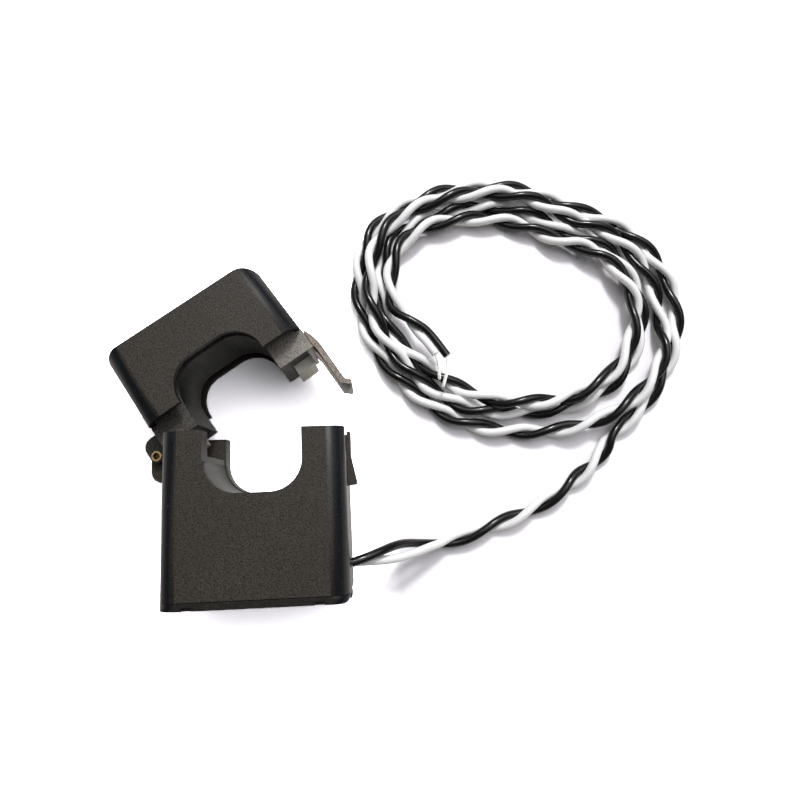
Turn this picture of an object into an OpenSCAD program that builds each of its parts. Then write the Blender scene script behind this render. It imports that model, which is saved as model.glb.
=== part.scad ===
// Split-core current transformer with a hinged jaw, a snap latch and a twisted lead pair.
// It lies on its back: +Z points along the conductor, and the origin is on the axis
// of the closed window, in the plane of the back faces.

/* [Window] */
// Width of the closed conductor window
window_w = 24; // [20:1:36]
// Height of the closed conductor window
window_h = 24; // [20:1:36]
// Radius of the window's corners
window_r = 8; // [2:0.5:8]
// Height of the split plane above the middle of the window
split_y = 3.4; // [1:0.2:4]

/* [Housing] */
// Width of each arm beside the window
arm_w = 10.3; // [9.5:0.1:16]
// Depth of the housing and the jaw along the conductor
body_d = 34; // [32:1:50]
// Height of the coil chamber under the window
chamber_h = 25; // [22:1:40]
// Radius of the long outer corners
corner_r = 4.5; // [1:0.5:5]
// Draft of the housing's side faces, in degrees, wider towards the base
housing_draft = 0.6; // [0:0.1:1.5]
// Thickness of the side walls and of the wall around the window
side_wall = 1.2; // [0.8:0.1:1.3]
// Thickness of the front and back walls
face_wall = 2; // [1:0.1:2.4]
// Thickness of the base cover
base_t = 2; // [1.4:0.1:4]
// Height of the base cover's lip inside the housing
lip_h = 2.5; // [1.5:0.1:5]
// Width of each snap notch along the base cover's edge
notch_w = 2.4; // [1.5:0.1:4]
// Distance of the snap notches from the middle
notch_x = 15.5; // [8:0.5:17]
// Reach of the pry tab out of the base cover's latch side
pry_out = 0.1; // [0:0.05:0.5]
// Width of the pry tab along the conductor
pry_w = 8; // [3:0.5:12]

/* [Jaw] */
// Height of the jaw above the window
yoke_h = 11.9; // [11:0.1:20]
// Draft of the jaw's side faces, in degrees, narrower towards the top
jaw_draft = 1.8; // [0:0.1:2.5]
// Radius of the jaw's corner on the hinge side
jaw_r_hinge = 4.5; // [1:0.5:8]
// Radius of the jaw's corner on the latch side
jaw_r_latch = 6; // [1:0.5:8]
// Width of the jaw's legs along the conductor
leg_d = 22; // [20:1:26]
// Reach of the jaw's legs below the split plane
leg_drop = 5.8; // [4:0.2:7]
// Distance by which the legs stand proud of the side faces
leg_proud = 0.2; // [0:0.05:0.3]
// Wall of the jaw's inner frame
frame_wall = 1.2; // [0.8:0.1:1.5]
// Angle by which the jaw stands open
open_angle = 33.2; // [0:0.1:80]

/* [Core] */
// Thickness of the core strip
core_t = 5.4; // [4:0.1:6]
// Width of the core along the conductor
core_d = 13; // [8:0.5:14]
// Distance by which the core lies behind the middle of the legs
core_back = 2; // [0:0.1:2]
// Distance of the core from the outer side faces
core_inset = 1.4; // [1.4:0.1:2]
// Reach of the jaw's poles out of its legs
pole_drop = 2.5; // [1:0.1:4]
// Thickness of the jaw's core spring
spring_t = 0.3; // [0.2:0.05:0.6]

/* [Coil] */
// Wall of the bobbin's tube and flanges
bobbin_wall = 1; // [0.8:0.1:1.5]
// Step from the flange's edge down to the winding
winding_step = 1.6; // [1:0.1:3]
// Thickness of the tape over the winding
tape_t = 0.3; // [0.1:0.05:0.5]
// Radius of the terminal pins
terminal_r = 0.45; // [0.3:0.05:0.6]

/* [Hinge] */
// Distance of the hinge pin from the side face
hinge_out = 4.1; // [3.5:0.1:6]
// Distance of the hinge pin below the split plane
hinge_drop = 5.1; // [4.5:0.1:6]
// Radius of the knuckles round the pin
knuckle_r = 1.7; // [1.5:0.1:2.2]
// Length of the whole hinge along the pin
hinge_len = 9; // [8:0.5:16]
// Height of the hinge's middle above the back face
hinge_z = 17; // [13:0.5:20]
// Outer radius of the hollow pin
pin_r = 1.1; // [1:0.05:1.2]
// Bore radius of the hollow pin
pin_bore_r = 0.85; // [0.4:0.05:0.9]
// Radius of the pin's rolled ends
pin_flange_r = 1.3; // [1.3:0.05:1.5]

/* [Latch] */
// Thickness of the latch arm
latch_t = 1.5; // [1:0.1:1.6]
// Width of the latch arm along the conductor
latch_w = 19; // [14:0.5:20]
// Reach of the latch arm below the split plane
latch_reach = 19.2; // [18:0.2:24]
// Reach of the finger tab out of the arm
tab_out = 1.1; // [0.8:0.1:3]
// Width of the catch along the conductor
catch_w = 7; // [4:0.5:10]
// Reach of the catch out of the side face
catch_out = 2.5; // [1.5:0.1:3]
// Distance from the split plane to the catch's hooking edge
catch_drop = 14.8; // [12:0.2:16]
// Thickness of the guide tongue above the catch
tongue_t = 0.9; // [0.6:0.1:1.2]

/* [Leads] */
// Outer diameter of each insulated wire
wire_d = 2.4; // [1.6:0.1:2.8]
// Diameter of each wire's bare conductor
strand_d = 0.76; // [0.5:0.02:1]
// Length of bare conductor at the end of each wire
strip_len = 7; // [4:0.5:12]
// Distance of the lead hole above the base cover
exit_up = 5.9; // [4.5:0.1:8]
// Height of the lead hole's middle above the back face
exit_z = 17; // [12:0.5:22]
// Height of the coiled lead
coil_h = 8; // [6:0.5:14]

/* [Hidden] */
$fn = 64;
over = 1;

// Clearances: moulded parts that close on each other, running fit of the pin,
// slip of the core in its channel, air between the pole faces.
fit_gap = 0.2;
pin_gap = 0.05;
slip_gap = 0.1;
pole_gap = 0.2;
sweep_gap = 0.5;
latch_gap = 0.3;
seam_gap = 0.15;

// Half width of the body at the split plane and at the base
half_w = window_w / 2 + arm_w;
top_y = window_h / 2 + yoke_h;
floor_y = -window_h / 2;
seam_y = floor_y - chamber_h;
base_y = seam_y - base_t;
base_half = half_w + (split_y - base_y) * tan(housing_draft);
mid_z = body_d / 2;
arch_r = min(window_r, window_h / 2 - split_y - 0.5);

leg_z0 = mid_z - leg_d / 2;
leg_z1 = mid_z + leg_d / 2;
leg_y = split_y - leg_drop;
leg_out = half_w + leg_proud;
socket_y = leg_y - fit_gap;
liner_gap = 0.3;

core_z = mid_z - core_back;
core_z0 = core_z - core_d / 2;
core_z1 = core_z + core_d / 2;
core_x1 = half_w - core_inset;
core_x0 = core_x1 - core_t;
pole_y = leg_y - pole_drop;
yoke_y0 = window_h / 2 + liner_gap + frame_wall + fit_gap;
yoke_y1 = yoke_y0 + core_t;

coil_y = (floor_y - side_wall + seam_y) / 2;
coil_half = (floor_y - side_wall - seam_y) / 2 - 0.6;
bobbin_x = core_x0 - fit_gap;
flange_z = core_z - face_wall - side_wall - 2 * fit_gap;

hinge_x = -half_w - hinge_out;
hinge_y = split_y - hinge_drop;
hinge_z0 = hinge_z - hinge_len / 2;
hinge_z1 = hinge_z + hinge_len / 2;
knuckle_gap = 0.2;
knuckle_web = hinge_len * 0.26;
knuckle_corner = 2.8;
gusset_drop = 6.8;
gusset_out = 0.4;
flange_t = 0.35;

latch_x0 = half_w + latch_gap * 2;
latch_x1 = latch_x0 + latch_t;
latch_y = split_y - latch_reach;
latch_root_y = split_y - 0.8;
catch_y = split_y - catch_drop;
catch_z0 = mid_z - catch_w / 2;
catch_z1 = mid_z + catch_w / 2;

exit_y = seam_y + exit_up;
exit_x = half_w + (split_y - exit_y + wire_d) * tan(housing_draft) + 0.02;
wire_step = wire_d / 2 + 0.1;
terminal_x = bobbin_x + 3;

// Middle line of the twisted pair from the housing to the coil, laid by eye
tail_pts = [[exit_x, exit_y, exit_z], [26, -30.6, 16.6], [31, -29.8, 14.8], [37, -28.9, 11],
    [43, -28.4, 6.6], [48, -28, 3.7], [54, -26.8, 2.6], [61, -24.6, 2.5], [67, -22.8, 2.5],
    [73, -20.6, 2.5], [79, -17.6, 2.5], [85, -13.9, 2.5], [90, -10.3, 2.5],
    [94, -7, 2.5], [97, -3.4, 2.5], [98.6, -0.7, 2.5]];
pair_d = 2 * wire_d;

// Oval of the coiled lead: middle, half axes of its outer and inner edges, and its tilt
coil_mid = [75.4, 39.6];
coil_outer = [51.5, 39.4];
coil_inner = [35.5, 25];
coil_tilt = -14;
coil_steps = 72;

// Where the bare ends of the two wires begin, on top of the coil
strand_rest = 0.1;
black_end = [52, 24.6];
white_end = [48.6, 26.2];

// A rectangle from corner p to corner q whose corners have the radii r,
// in the order lower left, lower right, upper right, upper left
module rounded_plate(p, q, r) {
    sx = [1, -1, -1, 1];
    sy = [1, 1, -1, -1];
    cx = [p[0], q[0], q[0], p[0]];
    cy = [p[1], p[1], q[1], q[1]];
    polygon([for (i = [0:3], k = [0, 1])
        let (along_y = (i % 2 == 0) == (k == 0))
        [cx[i] + (along_y ? 0 : sx[i] * r[i]), cy[i] + (along_y ? sy[i] * r[i] : 0)]]);
    for (i = [0:3])
        if (r[i] > 0) translate([cx[i] + sx[i] * r[i], cy[i] + sy[i] * r[i]]) circle(r[i]);
}

// Extrudes a flat profile along the conductor between two heights
module along_z(z0, z1) {
    translate([0, 0, z0]) linear_extrude(z1 - z0) children();
}

// All that lies left of the body's right side, which leans about the split plane
module leaning_side(lean, y0, y1, s, f) {
    r = max(corner_r - max(s, f), 0.3);
    spare = 2 * half_w * sin(lean) + over;
    intersection() {
        translate([half_w - s, split_y, 0]) rotate([0, 0, lean])
            translate([s - half_w, y1 + spare - split_y, 0]) rotate([90, 0, 0])
                linear_extrude(y1 - y0 + 2 * spare)
                    rounded_plate([-1.5 * half_w, f], [half_w - s, body_d - f], [0, r, r, 0]);
        translate([-1.5 * half_w, y0, -over])
            cube([3 * half_w, y1 - y0, body_d + 2 * over]);
    }
}

// Rounded section of the body with drafted sides, set in by the walls s and f,
// between two levels of y
module body_section(lean, y0, y1, s = 0, f = 0) {
    intersection() {
        leaning_side(lean, y0, y1, s, f);
        mirror([1, 0, 0]) leaning_side(lean, y0, y1, s, f);
    }
}

// Closed window, made larger by grow on every side and cut off above top
module window_profile(grow, top) {
    r = window_r + grow;
    rounded_plate([-window_w / 2 - grow, floor_y - grow], [window_w / 2 + grow, top], [r, r, 0, 0]);
}

// Arch of the jaw over the window, made larger by grow and open below
module arch_profile(grow, bottom) {
    r = arch_r + grow;
    rounded_plate([-window_w / 2 - grow, bottom], [window_w / 2 + grow, window_h / 2 + grow],
        [0, 0, r, r]);
}

// Turns the closed jaw open about the hinge pin
module opened() {
    translate([hinge_x, hinge_y, 0]) rotate([0, 0, open_angle])
        translate([-hinge_x, -hinge_y, 0]) children();
}

module both_sides() {
    children();
    mirror([1, 0, 0]) children();
}

// Bore for the hinge pin through every knuckle
module pin_bore() {
    translate([hinge_x, hinge_y, hinge_z0 - over])
        cylinder(r = pin_r + pin_gap, h = hinge_len + 2 * over);
}

// Lug below the pin: round at the pin and at its lower corner
module lower_knuckle_profile() {
    left = hinge_x - knuckle_r - gusset_out;
    bottom = hinge_y - gusset_drop;
    rounded_plate([left, bottom], [-half_w + side_wall / 2, socket_y], [knuckle_corner, 0, 0, 0]);
    polygon([[left, socket_y - 0.1], [-half_w, socket_y - 0.1], [hinge_x + knuckle_r, hinge_y],
        [left + gusset_out, hinge_y]]);
    translate([hinge_x, hinge_y]) circle(knuckle_r);
}

// Lug above the pin, which the jaw's frame carries
module upper_knuckle_profile() {
    left = hinge_x - knuckle_r;
    rounded_plate([left, hinge_y], [-leg_out + frame_wall / 2, split_y - fit_gap],
        [0, 0, 0, knuckle_corner]);
    translate([hinge_x, hinge_y]) circle(knuckle_r);
}

// Guide tongue and wedge that the latch arm snaps over
module catch_profile() {
    tongue_x = half_w + fit_gap;
    polygon([[half_w - side_wall / 2, catch_y], [half_w + catch_out, catch_y + 0.5],
        [half_w + catch_out, catch_y + 1.4], [tongue_x + tongue_t, split_y - leg_drop - 1],
        [tongue_x + tongue_t, split_y - 0.4], [tongue_x, split_y - 0.4], [tongue_x, socket_y - 0.2],
        [half_w - side_wall / 2, socket_y - 0.2]]);
}

// Room for the two stacked wires through the side wall
module lead_hole() {
    r = wire_d / 2 + fit_gap;
    for (side = [-1, 1])
        translate([half_w - side_wall - over, exit_y, exit_z + side * wire_step])
            rotate([0, 90, 0]) cylinder(r = r, h = side_wall + 2 * over);
    translate([half_w - side_wall - over, exit_y - r, exit_z - wire_step])
        cube([side_wall + 2 * over, 2 * r, 2 * wire_step]);
}

module lower_housing() color([0.16, 0.16, 0.155]) {
    post_z = leg_z0 - fit_gap - side_wall;
    difference() {
        union() {
            body_section(housing_draft, seam_y, split_y);
            along_z(hinge_z0 + knuckle_web + knuckle_gap, hinge_z1 - knuckle_web - knuckle_gap)
                lower_knuckle_profile();
            along_z(catch_z0, catch_z1) catch_profile();
        }
        along_z(-over, body_d + over) window_profile(0, split_y + over);
        // shallow panel along the inside of the window
        along_z(leg_z0, leg_z1) window_profile(liner_gap, split_y + over);
        // coil chamber
        difference() {
            body_section(housing_draft, seam_y - over, socket_y - side_wall, side_wall, face_wall);
            along_z(-over, body_d + over) window_profile(side_wall + liner_gap, split_y + over);
        }
        // cored-out posts in front of and behind the legs
        for (z = [face_wall, body_d - post_z])
            intersection() {
                body_section(housing_draft, socket_y - side_wall - over, split_y - side_wall,
                    side_wall, face_wall);
                both_sides()
                    translate([window_w / 2 + side_wall, socket_y - side_wall - over, z])
                        cube([arm_w, leg_drop + side_wall + over, post_z - face_wall]);
            }
        // sockets for the jaw's legs, open to the window and to the side
        for (x = [-half_w - over, window_w / 2 - over])
            translate([x, socket_y, leg_z0 - fit_gap])
                cube([arm_w + over + (x < 0 ? over : 1) + (x < 0 ? 0 : slip_gap - 1),
                    leg_drop + fit_gap + over, leg_d + 2 * fit_gap]);
        // holes for the poles in the sockets' floors
        both_sides()
            translate([core_x0 - sweep_gap, socket_y - side_wall - over, core_z0 - fit_gap])
                cube([core_t + sweep_gap + slip_gap, side_wall + 2 * over, core_d + 2 * fit_gap]);
        pin_bore();
        lead_hole();
    }
}

module base_cover() color([0.13, 0.13, 0.13]) {
    lip = face_wall / 2;
    difference() {
        union() {
            intersection() {
                body_section(housing_draft, base_y, seam_y - seam_gap);
                along_z(0, body_d)
                    rounded_plate([-base_half, base_y], [base_half, seam_y], [0.5, base_t * 0.9, 0, 0]);
            }
            difference() {
                body_section(housing_draft, seam_y - seam_gap, seam_y + lip_h,
                    side_wall + slip_gap, face_wall + slip_gap);
                body_section(housing_draft, seam_y - over, seam_y + lip_h + over,
                    side_wall + slip_gap + lip, face_wall + slip_gap + lip);
            }
            // pry tab on the latch side
            translate([base_half - base_t, base_y + 0.1, exit_z])
                cube([base_t + pry_out, base_t * 0.6, pry_w]);
        }
        for (x = [-notch_x, notch_x], z = [-over, body_d - 0.8])
            translate([x - notch_w / 2, base_y - over, z])
                cube([notch_w, over + base_t * 0.45, over + 0.8]);
    }
}

// One half of the lower core: a pole beside the window and half of the yoke below it
module lower_core_half() {
    bottom = coil_y - core_t / 2;
    along_z(core_z0, core_z1) difference() {
        rounded_plate([slip_gap / 2, bottom], [core_x1, pole_y - pole_gap], [0, core_t * 0.6, 0, 0]);
        translate([-over, coil_y + core_t / 2])
            square([core_x0 + over, -coil_y]);
    }
}

module lower_core_left() color([0.45, 0.45, 0.44]) mirror([1, 0, 0]) lower_core_half();
module lower_core_right() color([0.45, 0.45, 0.44]) lower_core_half();

// Rectangular ring round the yoke between x = -half and x = half
module yoke_ring(half, outer_y, outer_z, inner_y, inner_z) {
    difference() {
        translate([-half, coil_y - outer_y, core_z - outer_z])
            cube([2 * half, 2 * outer_y, 2 * outer_z]);
        translate([-half - over, coil_y - inner_y, core_z - inner_z])
            cube([2 * (half + over), 2 * inner_y, 2 * inner_z]);
    }
}

tube_y = core_t / 2 + slip_gap + bobbin_wall;
tube_z = core_d / 2 + slip_gap + bobbin_wall;
wound_y = coil_half - winding_step;
wound_z = flange_z - winding_step;
wound_x = bobbin_x - bobbin_wall;

module bobbin() color([0.12, 0.12, 0.12]) difference() {
    union() {
        yoke_ring(bobbin_x, tube_y, tube_z, tube_y - bobbin_wall, tube_z - bobbin_wall);
        for (x = [-bobbin_x, wound_x])
            translate([x, coil_y - coil_half, core_z - flange_z])
                cube([bobbin_wall, 2 * coil_half, 2 * flange_z]);
    }
    translate([-bobbin_x - over, coil_y - core_t / 2 - slip_gap, core_z0 - slip_gap])
        cube([2 * (bobbin_x + over), core_t + 2 * slip_gap, core_d + 2 * slip_gap]);
    for (side = [-1, 1])
        translate([wound_x - over, exit_y, exit_z + side * wire_step])
            rotate([0, 90, 0]) cylinder(r = terminal_r, h = bobbin_wall + 2 * over);
}

module secondary_winding() color([0.72, 0.38, 0.18])
    yoke_ring(wound_x - slip_gap, wound_y, wound_z, tube_y + slip_gap / 2, tube_z + slip_gap / 2);

module winding_tape() color([0.85, 0.72, 0.2])
    yoke_ring(wound_x - fit_gap, wound_y + 0.05 + tape_t, wound_z + 0.05 + tape_t,
        wound_y + 0.05, wound_z + 0.05);

// Foam strip that presses the bobbin up against the window's wall
module bobbin_pad() color([0.3, 0.3, 0.3])
    translate([-bobbin_x + over, seam_y, core_z - core_d / 2])
        cube([2 * (bobbin_x - over), coil_y - coil_half - seam_y, core_d]);

module terminal(side) color([0.8, 0.8, 0.78])
    translate([wound_x + 0.1, exit_y, exit_z + side * wire_step])
        rotate([0, 90, 0]) cylinder(r = terminal_r, h = terminal_x - wound_x - 0.1);

module start_terminal() terminal(1);
module finish_terminal() terminal(-1);

// End of a lead inside the housing: insulation through the hole, then its soldered conductor
module lead_inner(side) {
    jacket_x = terminal_x + 1.2;
    translate([0, exit_y, exit_z + side * wire_step]) rotate([0, 90, 0]) {
        translate([0, 0, jacket_x]) cylinder(d = wire_d, h = exit_x - jacket_x);
        translate([0, 0, terminal_x]) cylinder(d = strand_d, h = jacket_x - terminal_x + 0.2);
    }
}

module black_lead_inner() color([0.05, 0.05, 0.05]) lead_inner(1);
module white_lead_inner() color([0.93, 0.93, 0.93]) lead_inner(-1);

// Hollow pin with a rolled flange at each end
module hinge_pin() color([0.83, 0.68, 0.42])
    translate([hinge_x, hinge_y, 0]) rotate_extrude()
        polygon([[pin_bore_r, hinge_z0 - fit_gap - flange_t], [pin_flange_r, hinge_z0 - fit_gap - flange_t],
            [pin_flange_r, hinge_z0 - fit_gap], [pin_r, hinge_z0 - fit_gap],
            [pin_r, hinge_z1 + fit_gap], [pin_flange_r, hinge_z1 + fit_gap],
            [pin_flange_r, hinge_z1 + fit_gap + flange_t], [pin_bore_r, hinge_z1 + fit_gap + flange_t]]);

// Hood of the jaw: open below and along the arch
module jaw_cover() color([0.16, 0.16, 0.155]) opened() difference() {
    intersection() {
        body_section(jaw_draft, split_y, top_y);
        // the upper corners, drawn just clear of the drafted sides
        along_z(-over, body_d + over)
            rounded_plate([-half_w - 0.01, split_y - over], [half_w + 0.01, top_y],
                [0, 0, jaw_r_latch, jaw_r_hinge]);
    }
    along_z(-over, body_d + over) arch_profile(0, split_y - over);
    intersection() {
        body_section(0, split_y - over, top_y, side_wall, face_wall);
        along_z(0, body_d)
            rounded_plate([-half_w + side_wall, split_y - over], [half_w - side_wall, top_y - face_wall],
                [0, 0, max(jaw_r_latch - face_wall, 0.3), max(jaw_r_hinge - face_wall, 0.3)]);
    }
}

// Inner frame: liner of the arch, two hollow legs, side plates for the core and the hinge lugs
module jaw_frame() color([0.1, 0.1, 0.1]) opened() {
    plate_x = half_w - side_wall - fit_gap;
    plate_top = yoke_y0 + core_t / 2;
    rib = 1;
    difference() {
        union() {
            along_z(leg_z0, leg_z1) {
                translate([-plate_x, leg_y]) square([2 * plate_x, plate_top - leg_y]);
                translate([-leg_out, leg_y]) square([2 * leg_out, leg_drop]);
            }
            for (z = [hinge_z0, hinge_z1 - knuckle_web])
                along_z(z, z + knuckle_web) upper_knuckle_profile();
        }
        along_z(leg_z0 - over, leg_z1 + over) arch_profile(liner_gap, leg_y - over);
        // channel for the core, open above
        along_z(leg_z0 + frame_wall, leg_z1 - frame_wall) difference() {
            union() {
                translate([-half_w, split_y]) square([2 * half_w, top_y]);
                translate([-core_x1 - slip_gap, leg_y + frame_wall])
                    square([2 * (core_x1 + slip_gap), leg_drop]);
            }
            arch_profile(liner_gap + frame_wall, leg_y - 2 * over);
        }
        // holes for the poles in the legs' end plates
        both_sides() along_z(core_z0 - slip_gap, core_z1 + slip_gap)
            translate([core_x0 - slip_gap, leg_y - over])
                square([core_t + 2 * slip_gap, frame_wall + 2 * over]);
        // flat on the latch side that lets the guide tongue pass
        translate([half_w - slip_gap, leg_y - over, catch_z0 - fit_gap])
            cube([leg_proud + slip_gap + over, leg_drop + 2 * over, catch_w + 2 * fit_gap]);
        pin_bore();
    }
    // ribs that guide the core's faces
    both_sides() for (z = [[leg_z0 + frame_wall - 0.1, core_z0 - slip_gap],
        [core_z1 + slip_gap, core_z1 + slip_gap + rib]])
        translate([window_w / 2 + liner_gap + frame_wall - 0.1, leg_y + rib, z[0]])
            cube([core_x1 + slip_gap - window_w / 2 - liner_gap - frame_wall + 0.2, leg_drop - rib,
                z[1] - z[0]]);
}

// Inverted U of the jaw's core
module jaw_core() color([0.45, 0.45, 0.44]) opened() along_z(core_z0, core_z1) difference() {
    rounded_plate([-core_x1, pole_y], [core_x1, yoke_y1], [0, 0, core_t * 0.6, core_t * 0.6]);
    rounded_plate([-core_x0, pole_y - over], [core_x0, yoke_y0], [0, 0, 1, 1]);
}

// Bowed leaf spring between the core and the roof of the cover
module jaw_core_spring() color([0.7, 0.7, 0.72]) opened() {
    room = top_y - face_wall - yoke_y1 - spring_t - 0.1;
    half = core_x0 * 0.7;
    bow_r = (half * half + room * room) / (2 * room);
    intersection() {
        translate([0, yoke_y1 + 0.05 + spring_t + bow_r, core_z - core_d * 0.3]) difference() {
            cylinder(r = bow_r + spring_t, h = core_d * 0.6, $fn = 200);
            translate([0, 0, -over]) cylinder(r = bow_r, h = core_d, $fn = 200);
        }
        translate([-half, yoke_y1, core_z - core_d / 2]) cube([2 * half, bow_r, core_d]);
    }
}

// Springy arm with a window that snaps over the catch, and a finger tab at its end
module latch_arm() color([0.3, 0.28, 0.26]) opened() {
    root_x = leg_out + latch_gap / 2;
    tab_r = 0.7;
    difference() {
        along_z(leg_z1 - latch_w, leg_z1) {
            polygon([[root_x, latch_root_y], [root_x, leg_y], [latch_x0, leg_y - 1],
                [latch_x0, latch_y + 1.6], [latch_x1 + tab_out - tab_r, latch_y],
                [latch_x1 + tab_out - tab_r, latch_y + 2 * tab_r], [latch_x1, latch_y + 2.2],
                [latch_x1, leg_y], [root_x + 1.2, 0.4], [root_x + 0.3, latch_root_y]]);
            translate([latch_x1 + tab_out - tab_r, latch_y + tab_r]) circle(tab_r);
        }
        translate([half_w - over, catch_y - 0.5, catch_z0 - 2 * latch_gap])
            cube([latch_t + catch_out + over, catch_drop + over, catch_w + 4 * latch_gap]);
    }
}

// Unit direction of the tail at point i
function tail_dir(i) =
    let (d = tail_pts[min(i + 1, len(tail_pts) - 1)] - tail_pts[max(i - 1, 0)]) d / norm(d);

// Ring of eight points round point i of the tail
function tail_ring(i) =
    let (t = i == 0 ? [1, 0, 0] : tail_dir(i), s = cross([0, 0, 1], t) / norm(cross([0, 0, 1], t)),
        u = cross(t, s))
    [for (k = [0:7]) tail_pts[i] + pair_d / 2 * (cos(45 * k + 22.5) * s + sin(45 * k + 22.5) * u)];

module lead_tail() color([0.5, 0.5, 0.5]) {
    last = len(tail_pts) - 1;
    polyhedron(
        [for (i = [0:last]) each tail_ring(i)],
        [[for (k = [0:7]) 7 - k],
            for (i = [0:last - 1], k = [0:7])
                [8 * i + k, 8 * i + (k + 1) % 8, 8 * i + 8 + (k + 1) % 8, 8 * i + 8 + k],
            [for (k = [0:7]) 8 * last + k]]);
}

module oval(axes) {
    polygon([for (i = [0:coil_steps - 1])
        let (a = 360 * i / coil_steps) [axes[0] * cos(a), axes[1] * sin(a)]]);
}

module lead_coil() color([0.55, 0.55, 0.55])
    translate([coil_mid[0], coil_mid[1], 0]) rotate([0, 0, coil_tilt])
        linear_extrude(coil_h) difference() {
            oval(coil_outer);
            oval(coil_inner);
        }

// Bare end of one wire, lying on top of the coil
module strands(end, turn) {
    translate([end[0], end[1], coil_h + strand_d / 2 + strand_rest])
        rotate([0, 0, turn]) rotate([0, 90, 0]) cylinder(d = strand_d, h = strip_len);
}

module black_strands() color([0.8, 0.8, 0.8]) strands(black_end, -104);
module white_strands() color([0.8, 0.8, 0.8]) strands(white_end, -84);

lower_housing();
base_cover();
lower_core_left();
lower_core_right();
bobbin();
secondary_winding();
winding_tape();
bobbin_pad();
start_terminal();
finish_terminal();
black_lead_inner();
white_lead_inner();
hinge_pin();
jaw_cover();
jaw_frame();
jaw_core();
jaw_core_spring();
latch_arm();
lead_tail();
lead_coil();
black_strands();
white_strands();
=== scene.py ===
from math import cos, pi, radians, sin

import bpy
from bpy.props import FloatProperty, FloatVectorProperty, IntProperty, PointerProperty
from mathutils import Matrix, Vector


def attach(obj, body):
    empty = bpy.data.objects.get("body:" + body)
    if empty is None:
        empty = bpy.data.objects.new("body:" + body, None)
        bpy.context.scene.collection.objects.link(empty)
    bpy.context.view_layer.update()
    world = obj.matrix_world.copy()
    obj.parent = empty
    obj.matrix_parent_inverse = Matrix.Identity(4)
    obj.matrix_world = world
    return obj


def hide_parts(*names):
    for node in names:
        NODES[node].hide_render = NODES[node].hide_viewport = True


bl_info = {
    "name": "Split-core Current Transformer",
    "version": (1, 0, 0),
    "blender": (4, 5, 0),
    "location": "3D View > Sidebar > Transformer",
    "description": "Dresses the housing, jaw, core and twisted leads of a current transformer",
    "category": "Object",
}

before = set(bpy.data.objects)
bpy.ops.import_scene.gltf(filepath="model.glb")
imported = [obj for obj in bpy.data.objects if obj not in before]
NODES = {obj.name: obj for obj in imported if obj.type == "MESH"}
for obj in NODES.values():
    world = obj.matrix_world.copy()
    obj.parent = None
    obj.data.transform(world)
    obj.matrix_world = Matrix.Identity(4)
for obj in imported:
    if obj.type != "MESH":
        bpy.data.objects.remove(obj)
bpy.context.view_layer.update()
MM = 0.001

# Middle line of the twisted pair from the side wall to the coil, in millimetres
LEAD_ROUTE = (
    (22.71, -31.1, 17.0), (26, -30.6, 16.6), (31, -29.8, 14.8), (37, -28.9, 11),
    (43, -28.4, 6.6), (48, -28, 3.7), (54, -26.8, 2.6), (61, -24.6, 2.5),
    (67, -22.8, 2.5), (73, -20.6, 2.5), (79, -17.6, 2.5), (85, -13.9, 2.5),
    (90, -10.3, 2.5), (94, -7, 2.5), (97, -3.4, 2.5), (99, 0, 2.5),
)
# Middle of the coil, and the reach of its outermost turn at every 30 degrees, in millimetres
COIL_MIDDLE = (75.4, 39.5)
COIL_REACH = (46.6, 42.3, 36.4, 38.4, 43.5, 50.8, 48.0, 42.0, 38.5, 36.9, 39.9, 44.0)
# How the pair winds inward: angle in degrees, inset from the outermost turn, height
COIL_LANES = (
    (-58, -4.9, 2.5), (-24, -2.1, 2.5), (0, -0.6, 2.5), (90, 0, 2.5), (270, 0, 2.5),
    (312, 0.2, 6.0), (336, 0.8, 6.0), (358, 4.9, 2.6), (405, 4.2, 4.3), (450, 3.6, 6.0),
    (540, 3.5, 6.0), (585, 3.9, 3.8), (630, 5.9, 2.5), (675, 7.5, 2.5), (720, 10.1, 2.5),
    (765, 8.4, 2.5), (810, 6.8, 2.6), (900, 6.8, 2.6), (945, 8.6, 4.0), (990, 8.2, 6.4),
    (1035, 10.3, 6.4), (1080, 13.2, 6.0), (1125, 12.2, 4.3), (1170, 11.3, 2.6),
    (1230, 9.9, 4.6), (1256, 9.8, 5.8),
)
# Last points of the pair, inside the coil
LEAD_END = ((41.0, 36.6, 6.2), (46.2, 31.0, 7.0), (50.8, 24.2, 7.6))
# Where the wires cross on the way to the coil, as distances from the wall in millimetres.
# Black lies on top at the wall and then at every second crossing.
CROSSINGS = (0, 27.6, 42.8, 55, 68.8, 79, 90)
# Distance between the points of a wire's route
LEAD_STEP = 1.2 * MM
# Angle between the coil's knots in degrees, and the steps of the spline between two knots
KNOT_ANGLE = 12
SPLINE_STEPS = 12
# Length at the free end where the wires run side by side, the first part of it untwisting them
LOOSE_END = 15 * MM
UNTWISTING = 7 * MM
# How far the wires bow apart before their first crossing, as a share of their radius
BOW = 0.38
# Bare strands: thickness, visible length, rise over that length, and steps along them
STRAND = 0.26 * MM
STRAND_REACH = 8 * MM
STRAND_RISE = 1.4 * MM
STRAND_STEPS = 16
# How far the bare strands of each wire bend to the side
STRAND_BENDS = {"black": -6.2 * MM, "white": -3.4 * MM}

# Moulded plastic, as shades of its colour: grain's pits and peaks, clouds, rubbed edges, and a painted
# highlight
PIT_SHADE, PEAK_SHADE, CLOUD_SHADE, RUBBED_SHADE, PAINTED_HIGHLIGHT_SHADE = 0.7, 3.8, 1.5, 3.4, 18.0
DUST_COLOUR = (0.16, 0.155, 0.145)
# Where the painted highlight, which makes the plastic paler towards +X, begins and is full, along X
PAINTED_HIGHLIGHT_EDGES = (-8 * MM, 22 * MM)
# Edges that turn by more than this get a moulded radius
SHARP_ANGLE = radians(35)

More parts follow.
